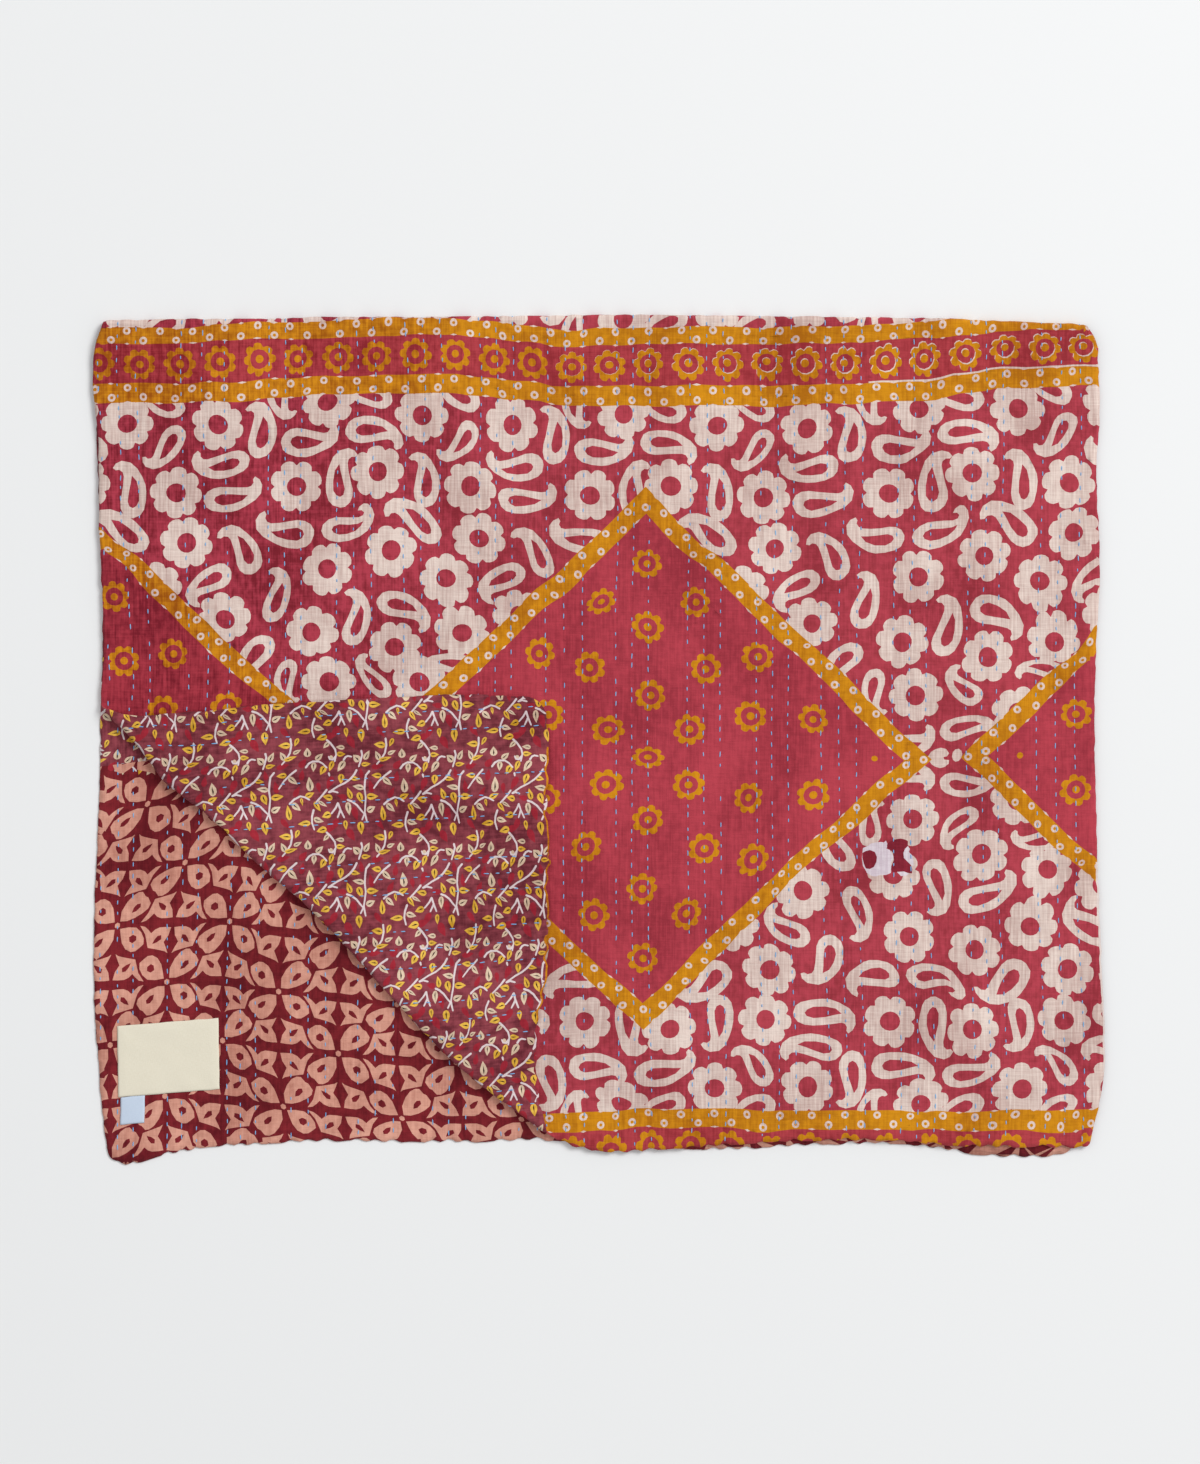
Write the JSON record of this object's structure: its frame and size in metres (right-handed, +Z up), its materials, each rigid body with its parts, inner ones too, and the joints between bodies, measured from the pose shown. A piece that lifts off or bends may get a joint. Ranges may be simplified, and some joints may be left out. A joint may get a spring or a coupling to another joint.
{
  "type": "folded kantha quilt",
  "caption": "Hand-stitched cotton kantha quilt, folded in half with one corner of the upper layer turned back to show its pieced back.",
  "frame": {"origin": "centre of the folded quilt's outline, on the surface that it lies on", "axes": "+X across the quilt along its folded edge, +Y from the hems to the folded edge, +Z up"},
  "size_m": [0.9116, 0.7665, 0.0116],
  "materials": {
    "quilt": "soft printed cotton with rows of running stitch",
    "label": "plain unbleached cotton",
    "care_label": "smooth woven tape"
  },
  "bodies": {
    "root": {"quilt": "quilt", "label": "label", "care_label": "care_label"}
  },
  "joints": []
}
